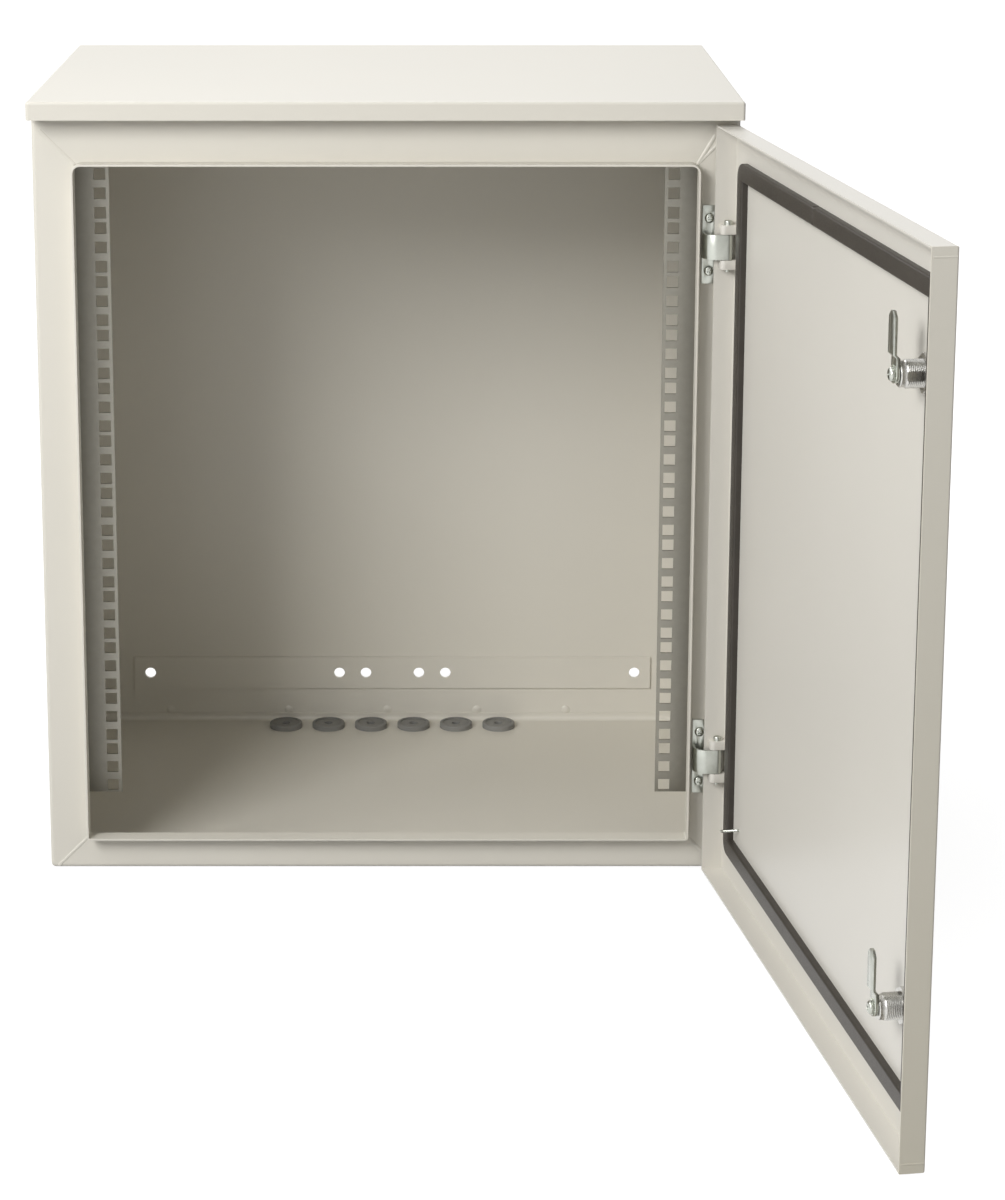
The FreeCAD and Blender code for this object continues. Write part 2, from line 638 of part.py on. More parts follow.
def cam_screw(z):
    """Screw head that holds the cam to the lock."""
    y0 = DOOR_INSIDE + LOCK_LENGTH + CAM_CLEARANCE + CAM_THICKNESS
    y1 = y0 + CAM_SCREW_HEIGHT
    head = cylinder_y(CAM_SCREW_RADIUS, LOCK_X, z, y0, y1)
    return head.makeFillet(CAM_SCREW_ROUND, edges_at_y(head, y1))


def earth_stud():
    """Threaded earth stud welded to the inside of the door."""
    x = DOOR_HALF - STUD_EDGE_DISTANCE
    return cylinder_y(STUD_RADIUS, x, STUD_HEIGHT, DOOR_INSIDE, DOOR_INSIDE + STUD_LENGTH)


def door_parts():
    """Everything that swings with the door, made in the closed position."""
    parts = {
        "door_panel": door_panel(),
        "door_gasket": door_gasket(),
        "door_earth_stud": earth_stud(),
    }
    for name, z in HINGE_HEIGHTS.items():
        parts[name + "_door_lugs"] = hinge_lugs(z)
        parts[name + "_hinge_pin"] = hinge_pin(z)
    for name, z in LOCK_HEIGHTS.items():
        parts[name + "_lock_body"] = lock_body(name)
        parts[name + "_lock_nut"] = lock_nut(name)
        parts[name + "_cam"] = lock_cam(z)
        parts[name + "_cam_screw"] = cam_screw(z)
    return parts


def swing_open(shape):
    """Turn a closed door piece about the hinge axis to the open position."""
    opened = shape.copy()
    opened.rotate(Vector(HINGE_X, HINGE_Y, 0), Vector(0, 0, 1), DOOR_OPEN_ANGLE)
    return opened


def build():
    """All named pieces in their places."""
    parts = {}
    parts.update(body_panels())
    parts.update(wall_plates())
    parts.update(front_frame())
    parts.update(roof_hood())
    parts.update(rack_rails())
    parts.update(grommets())
    for name, z in HINGE_HEIGHTS.items():
        parts[name + "_hinge_leaf"] = hinge_leaf(z)
    for name, shape in door_parts().items():
        parts[name] = swing_open(shape)
    return parts


def main():
    """Write one STEP file for each piece."""
    os.makedirs("parts", exist_ok=True)
    for name, shape in build().items():
        solids = shape.Solids
        result = solids[0] if len(solids) == 1 else Part.makeCompound(solids)
        result.exportStep(os.path.join("parts", name + ".step"))
        print(name, len(solids), "solid(s)", round(result.Volume), "mm3", result.isValid())


main()
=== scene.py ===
import json
import math

import bmesh
import bpy
from mathutils import Matrix, Vector


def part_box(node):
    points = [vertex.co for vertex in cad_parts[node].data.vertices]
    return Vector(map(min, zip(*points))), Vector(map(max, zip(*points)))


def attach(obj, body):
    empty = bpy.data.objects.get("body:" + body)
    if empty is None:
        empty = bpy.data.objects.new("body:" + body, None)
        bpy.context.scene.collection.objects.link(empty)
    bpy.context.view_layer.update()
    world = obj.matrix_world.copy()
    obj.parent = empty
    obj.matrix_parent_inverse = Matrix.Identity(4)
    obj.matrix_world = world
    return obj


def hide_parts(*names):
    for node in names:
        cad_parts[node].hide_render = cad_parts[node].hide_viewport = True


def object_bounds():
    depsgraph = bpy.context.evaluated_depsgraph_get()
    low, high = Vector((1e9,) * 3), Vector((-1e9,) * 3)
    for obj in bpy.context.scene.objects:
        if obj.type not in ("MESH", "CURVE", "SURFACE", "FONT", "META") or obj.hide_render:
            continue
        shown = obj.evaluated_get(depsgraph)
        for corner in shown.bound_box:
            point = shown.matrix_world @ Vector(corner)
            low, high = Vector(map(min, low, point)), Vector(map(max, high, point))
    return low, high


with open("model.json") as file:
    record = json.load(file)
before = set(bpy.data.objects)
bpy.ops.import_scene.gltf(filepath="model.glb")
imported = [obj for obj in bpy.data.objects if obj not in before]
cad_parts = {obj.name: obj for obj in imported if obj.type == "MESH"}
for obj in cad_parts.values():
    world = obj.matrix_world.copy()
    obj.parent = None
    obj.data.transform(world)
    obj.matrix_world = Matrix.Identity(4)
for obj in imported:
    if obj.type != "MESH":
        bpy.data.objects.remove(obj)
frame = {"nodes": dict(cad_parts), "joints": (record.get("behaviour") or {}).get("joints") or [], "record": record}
cad_low, cad_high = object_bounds()

# Outdoor rack cabinet with its door open. Lengths are in metres, angles in radians.
MM = 0.001
NODES = frame["nodes"]
JOINTS = {joint["name"]: joint for joint in frame["joints"]}

# The door's hinge, and the turn that opens a door modelled shut
DOOR_HINGE = Vector(JOINTS["door_hinge"]["pos_m"])
DOOR_TURN = -math.radians(JOINTS["door_hinge"]["range_deg"][0])
OPEN_DOOR = (
    Matrix.Translation(DOOR_HINGE) @ Matrix.Rotation(DOOR_TURN, 4, "Z") @ Matrix.Translation(-DOOR_HINGE)
)
SHUT_DOOR = OPEN_DOOR.inverted()

# Front face of the frame's flange, its sealing lip, and the door's sheet
FLANGE_FRONT = -190 * MM
LIP_THICKNESS = 1.7 * MM
SHEET = 1.5 * MM

# Camera, as the photograph was taken
CAMERA_PLACE = (0.03146, -2.66502, 0.96409)
CAMERA_PITCH = math.radians(90 - 12.71)
CAMERA_LENS = 94.71
CAMERA_SHIFT = (0.0640, -0.1740)
SENSOR_WIDTH = 36
CAMERA_REACH = 100

# Paint and metal colours, linear
BODY_COLOUR = (0.690, 0.662, 0.590, 1)
BODY_SHADE = (0.660, 0.632, 0.562, 1)
DOOR_COLOUR = (0.688, 0.664, 0.605, 1)
DOOR_SHADE = (0.662, 0.638, 0.580, 1)
# Painted shade: a warmer, darker paint colour for the door's free edge
EDGE_PAINTED_SHADE = (0.640, 0.600, 0.495, 1)
ZINC = (0.560, 0.575, 0.530, 1)
ZINC_DULL = (0.400, 0.415, 0.370, 1)
GALVANISED = (0.315, 0.302, 0.262, 1)
GALVANISED_DULL = (0.265, 0.254, 0.220, 1)
NICKEL = (0.660, 0.650, 0.620, 1)
NICKEL_DULL = (0.400, 0.395, 0.375, 1)
FOAM = (0.030, 0.026, 0.021, 1)
FOAM_LIGHT = (0.056, 0.048, 0.040, 1)
RUBBER = (0.200, 0.198, 0.186, 1)
RUBBER_LIGHT = (0.260, 0.256, 0.240, 1)
WHITE = (1, 1, 1, 1)

# Textures: sizes of their spots and lines, depth and strength of their bumps
NOISE_ROUGHNESS = 0.55
POWDER_DRIFT = 250 * MM
POWDER_GRAIN = 1.3 * MM
POWDER_BUMP = (0.08 * MM, 0.35)
PLATING_CLOUD = 6 * MM
PLATING_LINE = 0.5 * MM
PLATING_BUMP = (0.04 * MM, 0.4)
DRAWN_OUT = (1, 1, 0.06)
FOAM_CELL = 0.8 * MM
RUBBER_CELL = 0.6 * MM
RUBBER_CLOUD = 20 * MM
RUBBER_BUMP = (0.15 * MM, 0.5)
RUBBER_SPECULAR = 0.3

# Painted shade on the door's free edge, warmer and darker towards the floor: full within the first reach from it,
# gone at the second
EDGE_SHADE_REACH = (4.0 * MM, 4.5 * MM)
EDGE_SHADE_AT_TOP = 0.4

# Edges: those sharper than the first angle stay crisp, those sharper than the second get rounded
CRISP_ANGLE = math.radians(30)
ROUNDED_ANGLE = math.radians(40)
FLAT_ANGLE = math.radians(1)
STAMPED_EDGE = 0.25 * MM
LUG_EDGE = 0.7 * MM
CAM_EDGE = 0.12 * MM

# Steps round a full turn, and the distance under which two points are one
FINE_TURN = 64
TURN = 48
SMALL_TURN = 32
TINY_TURN = 20
DOME_TURN = 24
BEAD_TURN = 16
SAME_POINT = 0.001 * MM
SAME_TURNED_POINT = 0.0001 * MM

# Pan head screws: crown as fractions of radius and height, and the cross as fractions of both
PAN_CROWN = ((0, 0), (1, 0), (1, 0.30), (0.97, 0.52), (0.86, 0.76), (0.66, 0.92), (0.36, 1), (0, 1))
CROSS_WIDTH = 1.15
CROSS_SLOT = 0.26
CROSS_DEPTH = 0.62
CROSS_TAPER = (0.45, 0.7, 1)

# Hinge screws in the frame leaves, each pair as side of the leaf's middle and turn
HINGE_SCREW_SPACING = 42.5 * MM
HINGE_SCREW_RADIUS = 4.0 * MM
HINGE_SCREW_HEIGHT = 2.3 * MM
HINGE_SCREW_TURNS = ((-1, 0.5), (1, 0.9))
PLATE_WIDTH = 11.2 * MM
LEAF_SHEET = 1.6 * MM

# Lock screws and their toothed washers
LOCK_SCREW_RADIUS = 4.6 * MM
LOCK_SCREW_HEIGHT = 2.9 * MM
LOCK_SCREW_TURNS = (("upper", 0.35), ("lower", 0.7))
WASHER_RADIUS = 6.0 * MM
WASHER_THICKNESS = 0.7 * MM
WASHER_TEETH = 20
TOOTH_ROOT = 0.84

# Threaded lock barrels. The flats are left and right on the upper one, above and below on the lower.
BARREL_RADIUS = 9.5 * MM
BARREL_LENGTH = 19.4 * MM
BARREL_FLATS = 17.2 * MM
UPRIGHT_FLATS = ("upper",)
OVERLAP = 0.2 * MM
THREAD_PITCH = 1.25 * MM
THREAD_DEPTH = 0.45 * MM
ROOT_END = 0.15
RIDGE_START = 0.5
RIDGE_END = 0.65
COLLAR_LENGTH = 3.4 * MM
COLLAR_RADIUS = 8.6 * MM
COLLAR_CHAMFER = 0.6 * MM

# Lock heads outside the door, with the well for a double-bit key
HEAD_RADIUS = 13 * MM
HEAD_ROUND = 0.8 * MM
HEAD_GAP = 0.01 * MM
KEY_WELL_RADIUS = 7 * MM
KEY_WELL_DEPTH = 1.6 * MM
KEY_WELL_CHAMFER = 0.25 * MM
KEY_PIN_RADIUS = 2.2 * MM
KEY_PIN_TOP = 0.5 * MM
KEY_PIN_CHAMFER = 0.3 * MM
KEY_WING_HALF = 1.5 * MM
KEY_WING_TOP = 0.6 * MM

# Earth stud
STUD_PITCH = 0.7 * MM
STUD_THREAD_DEPTH = 0.2 * MM
STUD_PLAIN_END = 1.5 * MM
STUD_CHAMFER = 0.5 * MM

# Gasket strip, and the pinched section at its butt joint as offset and fullness
GASKET_WIDTH = 14 * MM
GASKET_CORNER = 12 * MM
GASKET_CORNER_STEPS = 8
FOAM_ROUND = 1.6 * MM
FOAM_STEPS = 5
BUTT_JOINT_X = 34 * MM
BUTT_JOINT = ((-1.4 * MM, 1), (-0.4 * MM, 0.86), (0.4 * MM, 0.86), (1.4 * MM, 1))

# Weld beads in the frame's mitres, and a second run at the upper corner by the hinges
BEAD_LENGTH = 38 * MM
BEAD_HALF_WIDTH = 1.3 * MM
BEAD_FLATNESS = 0.35
STRAY_RUN = (0.51, 0, 0.86)
STRAY_LENGTH = 27 * MM
STRAY_HALF_WIDTH = 1.5 * MM

# Seams at the door's corners
SEAM_HALF_WIDTH = 0.7 * MM
SEAM_DISTANCE = 6.7 * MM
SEAM_INSET = 1.2 * MM

# Tack welds: low domes on the back panel above the floor, at these X
TACK_LEVEL = 11 * MM
TACK_RADIUS = 4.2 * MM
TACK_HEIGHT = 0.9 * MM
TACK_SHOULDER = (0.7, 0.75)
TACK_PLACES = (-0.210, -0.098, -0.005, 0.080, 0.164)

# Floor: its glow to the camera grows from the first level to the second between two distances,
# measured in half widths of the cabinet's foot, and stops under the cabinet.
# The dimmer glow round the cabinet and the missing glow under it are painted shade.
FLOOR_SIZE = 12
FLOOR_DROP = 0.5 * MM
FLOOR_GREY = (0.35, 0.35, 0.35, 1)
FLOOR_ROUGHNESS = 0.9
FLOOR_GLOW = (0.78, 1.0)
FOOT_HALF = (0.28, 0.19)
FOOT_REACH = (1.5, 5.0)
PAINTED_SHADE_REACH = 0.95

# Light: the surround's level, and lamps as name, place, aim, size and watts
SURROUND_LIGHT = 0.18
MIDDLE = (0.0, -0.3, 0.33)
LAMPS = (
    ("front_left_softbox", (-1.3, -2.0, 1.6), MIDDLE, 1.0, 48),
    ("left_overhead_softbox", (-1.3, -0.5, 2.3), MIDDLE, 1.0, 16.5),
    ("low_front_softbox", (-0.9, -2.2, 0.9), MIDDLE, 1.0, 4.5),
    ("rear_overhead_softbox", (0.0, 1.0, 1.9), MIDDLE, 1.0, 11.5),
    ("rear_right_softbox", (1.4, 1.4, 1.4), MIDDLE, 1.0, 6),
    ("near_right_softbox", (0.75, -1.15, 0.95), (0.36, -0.745, 0.5), 0.3, 0.8),
)


def add_node(tree, kind, **settings):
    """One shader node with its settings."""
    node = tree.nodes.new(kind)
    for name, value in settings.items():
        setattr(node, name, value)
    return node


def set_inputs(node, **values):
    """Fill sockets by name, with underscores for spaces."""
    for name, value in values.items():
        node.inputs[name.replace("_", " ")].default_value = value


def node_group(name, inputs, outputs):
    """Empty shader group with named float inputs and outputs, and a vector input for the place."""
    group = bpy.data.node_groups.new(name, "ShaderNodeTree")
    group.interface.new_socket("Place", in_out="INPUT", socket_type="NodeSocketVector")
    for socket, value in inputs.items():
        made = group.interface.new_socket(socket, in_out="INPUT", socket_type="NodeSocketFloat")
        made.default_value = value
    for socket in outputs:
        group.interface.new_socket(socket, in_out="OUTPUT", socket_type="NodeSocketFloat")
    return group, add_node(group, "NodeGroupInput"), add_node(group, "NodeGroupOutput")


def noise_in_group(group, source, size_socket, detail):
    """Noise whose scale is one over a size given in metres."""
    scale = add_node(group, "ShaderNodeMath", operation="DIVIDE")
    scale.inputs[0].default_value = 1
    group.links.new(source.outputs[size_socket], scale.inputs[1])
    noise = add_node(group, "ShaderNodeTexNoise")
    set_inputs(noise, Detail=detail, Roughness=NOISE_ROUGHNESS)
    group.links.new(source.outputs["Place"], noise.inputs["Vector"])
    group.links.new(scale.outputs[0], noise.inputs["Scale"])
    return noise


def powder_group():
    """Powder coat: a slow drift of tone and the fine bumps of baked powder."""
    group, source, sink = node_group(
        "powder_coat_texture",
        {"Drift Size": POWDER_DRIFT, "Grain Size": POWDER_GRAIN},
        ("Tone", "Grain", "Sheen Drift"),
    )
    drift = noise_in_group(group, source, "Drift Size", detail=3)
    grain = noise_in_group(group, source, "Grain Size", detail=2)
    group.links.new(drift.outputs["Fac"], sink.inputs["Tone"])
    group.links.new(grain.outputs["Fac"], sink.inputs["Grain"])
    blend = add_node(group, "ShaderNodeMath", operation="MULTIPLY_ADD")
    blend.inputs[1].default_value = 0.5
    group.links.new(grain.outputs["Fac"], blend.inputs[0])
    group.links.new(drift.outputs["Fac"], blend.inputs[2])
    group.links.new(blend.outputs[0], sink.inputs["Sheen Drift"])
    return group


def plating_group():
    """Plated steel: cloudy patches and fine drawn lines along one axis."""
    group, source, sink = node_group(
        "plating_texture", {"Cloud Size": PLATING_CLOUD, "Line Size": PLATING_LINE}, ("Cloud", "Lines")
    )
    cloud = noise_in_group(group, source, "Cloud Size", detail=4)
    stretch = add_node(group, "ShaderNodeVectorMath", operation="MULTIPLY")
    stretch.inputs[1].default_value = DRAWN_OUT
    group.links.new(source.outputs["Place"], stretch.inputs[0])
    lines = noise_in_group(group, source, "Line Size", detail=2)
    group.links.new(stretch.outputs[0], lines.inputs["Vector"])
    group.links.new(cloud.outputs["Fac"], sink.inputs["Cloud"])
    group.links.new(lines.outputs["Fac"], sink.inputs["Lines"])
    return group


def pore_group():
    """Foam and moulded rubber: small closed cells over a cloudy tone."""
    group, source, sink = node_group(
        "pore_texture", {"Cell Size": FOAM_CELL, "Cloud Size": RUBBER_CLOUD}, ("Cells", "Cloud")
    )
    scale = add_node(group, "ShaderNodeMath", operation="DIVIDE")
    scale.inputs[0].default_value = 1
    group.links.new(source.outputs["Cell Size"], scale.inputs[1])
    cells = add_node(group, "ShaderNodeTexVoronoi", feature="F1")
    group.links.new(source.outputs["Place"], cells.inputs["Vector"])
    group.links.new(scale.outputs[0], cells.inputs["Scale"])
    cloud = noise_in_group(group, source, "Cloud Size", detail=3)
    group.links.new(cells.outputs["Distance"], sink.inputs["Cells"])
    group.links.new(cloud.outputs["Fac"], sink.inputs["Cloud"])
    return group


POWDER = powder_group()
PLATING = plating_group()
PORES = pore_group()


def finish_base(name, group, **sizes):
    """Material with a Principled shader and one texture group read at Object coordinates."""
    material = bpy.data.materials.new(name)
    material.use_nodes = True
    tree = material.node_tree
    shader = tree.nodes["Principled BSDF"]
    place = add_node(tree, "ShaderNodeTexCoord")
    texture = add_node(tree, "ShaderNodeGroup", node_tree=group)
    set_inputs(texture, **sizes)
    tree.links.new(place.outputs["Object"], texture.inputs["Place"])
    return material, tree, shader, texture


def colour_between(tree, factor, low, high, target):
    """Mix two colours by a texture output into a colour socket."""
    mix = add_node(tree, "ShaderNodeMix", data_type="RGBA")
    mix.inputs["A"].default_value = low
    mix.inputs["B"].default_value = high
    tree.links.new(factor, mix.inputs["Factor"])
    tree.links.new(mix.outputs["Result"], target)


def value_between(tree, factor, low, high, target):
    """Map a texture output from 0..1 to a range."""
    spread = add_node(tree, "ShaderNodeMapRange")
    set_inputs(spread, To_Min=low, To_Max=high)
    tree.links.new(factor, spread.inputs["Value"])
    tree.links.new(spread.outputs["Result"], target)


def bump(tree, height, depth_and_strength, shader):
    """Bump from a height output to the shader's normal."""
    distance, strength = depth_and_strength
    node = add_node(tree, "ShaderNodeBump")
    set_inputs(node, Distance=distance, Strength=strength)
    tree.links.new(height, node.inputs["Height"])
    tree.links.new(node.outputs["Normal"], shader.inputs["Normal"])


def powder_coat(name, colour, shade):
    """Light grey powder coat."""
    material, tree, shader, texture = finish_base(
        name, POWDER, Drift_Size=POWDER_DRIFT, Grain_Size=POWDER_GRAIN
    )
    colour_between(tree, texture.outputs["Tone"], shade, colour, shader.inputs["Base Color"])
    value_between(
        tree, texture.outputs["Sheen Drift"], low=0.26, high=0.40, target=shader.inputs["Roughness"]
    )
    bump(tree, texture.outputs["Grain"], POWDER_BUMP, shader)
    return material


def paint_edge_shade(material):
    """Painted shade along the door's free edge: a warmer, duller paint colour, more so towards the floor."""
    tree = material.node_tree
    shader = tree.nodes["Principled BSDF"]
    place = add_node(tree, "ShaderNodeTexCoord")
    split = add_node(tree, "ShaderNodeSeparateXYZ")
    tree.links.new(place.outputs["Object"], split.inputs["Vector"])
    near = add_node(tree, "ShaderNodeMapRange")
    set_inputs(near, From_Min=cad_low.y + EDGE_SHADE_REACH[1], From_Max=cad_low.y + EDGE_SHADE_REACH[0])
    tree.links.new(split.outputs["Y"], near.inputs["Value"])
    low = add_node(tree, "ShaderNodeMapRange")
    set_inputs(low, From_Min=0, From_Max=cad_high.z, To_Min=1, To_Max=EDGE_SHADE_AT_TOP)
    tree.links.new(split.outputs["Z"], low.inputs["Value"])
    painted_shade_mask = add_node(tree, "ShaderNodeMath", operation="MULTIPLY")
    tree.links.new(near.outputs["Result"], painted_shade_mask.inputs[0])
    tree.links.new(low.outputs["Result"], painted_shade_mask.inputs[1])
    # Mix the painted shade over the paint's own colour
    plain_colour = shader.inputs["Base Color"].links[0].from_socket
    mix = add_node(tree, "ShaderNodeMix", data_type="RGBA")
    tree.links.new(painted_shade_mask.outputs[0], mix.inputs["Factor"])
    tree.links.new(plain_colour, mix.inputs["A"])
    mix.inputs["B"].default_value = EDGE_PAINTED_SHADE
    tree.links.new(mix.outputs["Result"], shader.inputs["Base Color"])


def plated_metal(name, bright, dull, smooth, rough):
    """Zinc or nickel plated metal."""
    material, tree, shader, texture = finish_base(
        name, PLATING, Cloud_Size=PLATING_CLOUD, Line_Size=PLATING_LINE
    )
    shader.inputs["Metallic"].default_value = 1
    colour_between(tree, texture.outputs["Cloud"], dull, bright, shader.inputs["Base Color"])
    value_between(tree, texture.outputs["Lines"], smooth, rough, shader.inputs["Roughness"])
    bump(tree, texture.outputs["Lines"], PLATING_BUMP, shader)
    return material


def soft_rubber(name, colour, light, cell, smooth, rough):
    """Foam strip or moulded rubber."""
    material, tree, shader, texture = finish_base(
        name, PORES, Cell_Size=cell, Cloud_Size=RUBBER_CLOUD
    )
    shader.inputs["Specular IOR Level"].default_value = RUBBER_SPECULAR
    colour_between(tree, texture.outputs["Cloud"], colour, light, shader.inputs["Base Color"])
    value_between(tree, texture.outputs["Cells"], smooth, rough, shader.inputs["Roughness"])
    bump(tree, texture.outputs["Cells"], RUBBER_BUMP, shader)
    return material


BODY_PAINT = powder_coat("body_paint", BODY_COLOUR, BODY_SHADE)
DOOR_PAINT = powder_coat("door_paint", DOOR_COLOUR, DOOR_SHADE)
# Painted shade on the door's free edge
paint_edge_shade(DOOR_PAINT)
HINGE_ZINC = plated_metal("hinge_zinc", ZINC, ZINC_DULL, smooth=0.22, rough=0.42)
LOCK_NICKEL = plated_metal("lock_nickel", NICKEL, NICKEL_DULL, smooth=0.18, rough=0.36)
CAM_STEEL = plated_metal("cam_steel", ZINC, ZINC_DULL, smooth=0.16, rough=0.34)
SCREW_ZINC = plated_metal("screw_zinc", ZINC, ZINC_DULL, smooth=0.14, rough=0.30)
RAIL_ZINC = plated_metal("rail_zinc", GALVANISED, GALVANISED_DULL, smooth=0.36, rough=0.46)
GASKET_FOAM = soft_rubber("gasket_foam", FOAM, FOAM_LIGHT, FOAM_CELL, smooth=0.34, rough=0.50)
GROMMET_RUBBER = soft_rubber(
    "grommet_rubber", RUBBER, RUBBER_LIGHT, RUBBER_CELL, smooth=0.5, rough=0.75
)
SLOT_FINISHES = {
    "body_paint": BODY_PAINT,
    "door_paint": DOOR_PAINT,
    "hinge_zinc": HINGE_ZINC,
    "lock_zinc": LOCK_NICKEL,
    "cam_steel": CAM_STEEL,
    "rail_zinc": RAIL_ZINC,
    "gasket_foam": GASKET_FOAM,
    "grommet_rubber": GROMMET_RUBBER,
}


def finish_frame_nodes():
    """Give every carried-over node the finish of its slot."""
    for part in frame["record"]["subparts"]:
        mesh = NODES[part["node"]].data
        mesh.materials.clear()
        mesh.materials.append(SLOT_FINISHES[part["material_slot"]])


def make_piece(name, mesh_data, finish, body, replaced=()):
    """Turn a bmesh into a piece that rides on a body, smooth but for its crisp edges."""
    bmesh.ops.recalc_face_normals(mesh_data, faces=mesh_data.faces)
    for face in mesh_data.faces:
        face.smooth = True
    for edge in mesh_data.edges:
        edge.smooth = edge.calc_face_angle(math.pi) < CRISP_ANGLE
    mesh = bpy.data.meshes.new(name)
    mesh_data.to_mesh(mesh)
    mesh_data.free()
    mesh.materials.append(finish)
    piece = bpy.data.objects.new(name, mesh)
    bpy.context.scene.collection.objects.link(piece)
    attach(piece, body)
    if replaced:
        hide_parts(*replaced)


def turned(points, segments=TURN):
    """Solid of revolution about Z from (radius, height) points, with the first and last on the axis."""
    data = bmesh.new()
    verts = [data.verts.new((radius, 0, height)) for radius, height in points]
    edges = [data.edges.new(pair) for pair in zip(verts, verts[1:])]
    bmesh.ops.spin(
        data, geom=verts + edges, cent=(0, 0, 0), axis=(0, 0, 1), angle=math.tau, steps=segments,
        use_merge=True
    )
    bmesh.ops.remove_doubles(data, verts=data.verts, dist=SAME_TURNED_POINT)
    bmesh.ops.recalc_face_normals(data, faces=data.faces)
    return data


def join(target, other):
    """Add another bmesh to the first."""
    mesh = bpy.data.meshes.new("joined")
    other.to_mesh(mesh)
    other.free()
    target.from_mesh(mesh)
    bpy.data.meshes.remove(mesh)


def cut_away(data, cutter):
    """Cut one closed shape out of another."""
    objects = []
    for name, shape in (("blank", data), ("cutter", cutter)):
        mesh = bpy.data.meshes.new(name)
        shape.to_mesh(mesh)
        shape.free()
        made = bpy.data.objects.new(name, mesh)
        bpy.context.scene.collection.objects.link(made)
        objects.append(made)
    modifier = objects[0].modifiers.new("cut", "BOOLEAN")
    modifier.operation = "DIFFERENCE"
    modifier.solver = "EXACT"
    modifier.object = objects[1]
    graph = bpy.context.evaluated_depsgraph_get()
    graph.update()
    result = bmesh.new()
    result.from_mesh(objects[0].evaluated_get(graph).to_mesh())
    for made in objects:
        mesh = made.data
        bpy.data.objects.remove(made)
        bpy.data.meshes.remove(mesh)
    return result


def block(low, high):
    """Box between two corners."""
    data = bmesh.new()
    bmesh.ops.create_cube(data, size=1)
    size = Vector(high) - Vector(low)
    middle = (Vector(high) + Vector(low)) / 2
    bmesh.ops.scale(data, vec=size, verts=data.verts)
    bmesh.ops.translate(data, vec=middle, verts=data.verts)
    return data


def recess_bar(width, slot, depth, top, turn):
    """Tapered bar that cuts one arm of a cross recess down from the top."""
    bar = block((-width / 2, -slot / 2, top - depth), (width / 2, slot / 2, top + depth))
    low = [vert for vert in bar.verts if vert.co.z < top]
    bmesh.ops.scale(bar, vec=CROSS_TAPER, verts=low)
    bmesh.ops.rotate(bar, cent=(0, 0, 0), matrix=Matrix.Rotation(turn, 3, "Z"), verts=bar.verts)
    return bar


def pan_head(radius, height):
    """Pan head screw with a cross recess, standing on z = 0."""
    head = turned([(across * radius, up * height) for across, up in PAN_CROWN])
    for turn in (0, math.pi / 2):
        arm = recess_bar(CROSS_WIDTH * radius, CROSS_SLOT * radius, CROSS_DEPTH * height, height, turn)
        head = cut_away(head, arm)
    return head


def outward_frame(point, out):
    """Matrix that stands a shape made along +Z on a point, facing outwards."""
    out = Vector(out).normalized()
    across = Vector((0, 0, 1)).cross(out).normalized()
    up = out.cross(across)
    turn = Matrix((across, up, out)).transposed().to_4x4()
    return Matrix.Translation(point) @ turn


def toothed_washer():
    """Lock washer with teeth round its rim, standing on z = 0."""
    data = bmesh.new()
    ring = bmesh.ops.create_circle(data, cap_ends=True, radius=WASHER_RADIUS, segments=2 * WASHER_TEETH)
    for index, vert in enumerate(ring["verts"]):
        if index % 2:
            vert.co *= TOOTH_ROOT
    raised = bmesh.ops.extrude_face_region(data, geom=list(data.faces))
    top = [item for item in raised["geom"] if isinstance(item, bmesh.types.BMVert)]
    bmesh.ops.translate(data, vec=(0, 0, WASHER_THICKNESS), verts=top)
    return data


def closed_box(node):
    """Lowest and highest corners of a door node, read with the door shut."""
    places = [SHUT_DOOR @ vert.co for vert in NODES[node].data.vertices]
    low = Vector([min(place[axis] for place in places) for axis in range(3)])
    high = Vector([max(place[axis] for place in places) for axis in range(3)])
    return low, high


def hinge_screws():
    """Two pan head screws in each frame leaf."""
    for name in ("upper", "lower"):
        low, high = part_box(name + "_hinge_leaf")
        middle = (low.z + high.z) / 2
        heads = bmesh.new()
        for side, turn in HINGE_SCREW_TURNS:
            head = pan_head(HINGE_SCREW_RADIUS, HINGE_SCREW_HEIGHT)
            bmesh.ops.rotate(head, cent=(0, 0, 0), matrix=Matrix.Rotation(turn, 3, "Z"), verts=head.verts)
            place = Vector((
                low.x + PLATE_WIDTH / 2, FLANGE_FRONT - LEAF_SHEET, middle + side * HINGE_SCREW_SPACING / 2
            ))
            head.transform(outward_frame(place, (0, -1, 0)))
            join(heads, head)
        make_piece(name + "_hinge_screws", heads, SCREW_ZINC, "cabinet")


def lock_screws():
    """Toothed washer and pan head screw that hold each cam."""
    for name, turn in LOCK_SCREW_TURNS:
        node = name + "_cam_screw"
        low, high = closed_box(node)
        middle = (low + high) / 2
        washer = toothed_washer()
        head = pan_head(LOCK_SCREW_RADIUS, LOCK_SCREW_HEIGHT)
        bmesh.ops.translate(head, vec=(0, 0, WASHER_THICKNESS), verts=head.verts)
        join(washer, head)
        bmesh.ops.rotate(washer, cent=(0, 0, 0), matrix=Matrix.Rotation(turn, 3, "Z"), verts=washer.verts)
        foot = Vector((middle.x, low.y, middle.z))
        washer.transform(OPEN_DOOR @ outward_frame(foot, (0, 1, 0)))
        make_piece(name + "_lock_screw", washer, SCREW_ZINC, name + "_cam", (node,))


def thread_profile(radius, start, end):
    """Points of a threaded surface between two heights: a ridge and a root for each pitch."""
    count = int((end - start) / THREAD_PITCH)
    points = []
    for index in range(count):
        low = start + index * THREAD_PITCH
        points += [(radius - THREAD_DEPTH, low), (radius - THREAD_DEPTH, low + ROOT_END * THREAD_PITCH)]
        points += [(radius, low + RIDGE_START * THREAD_PITCH), (radius, low + RIDGE_END * THREAD_PITCH)]
    points.append((radius - THREAD_DEPTH, start + count * THREAD_PITCH))
    return points


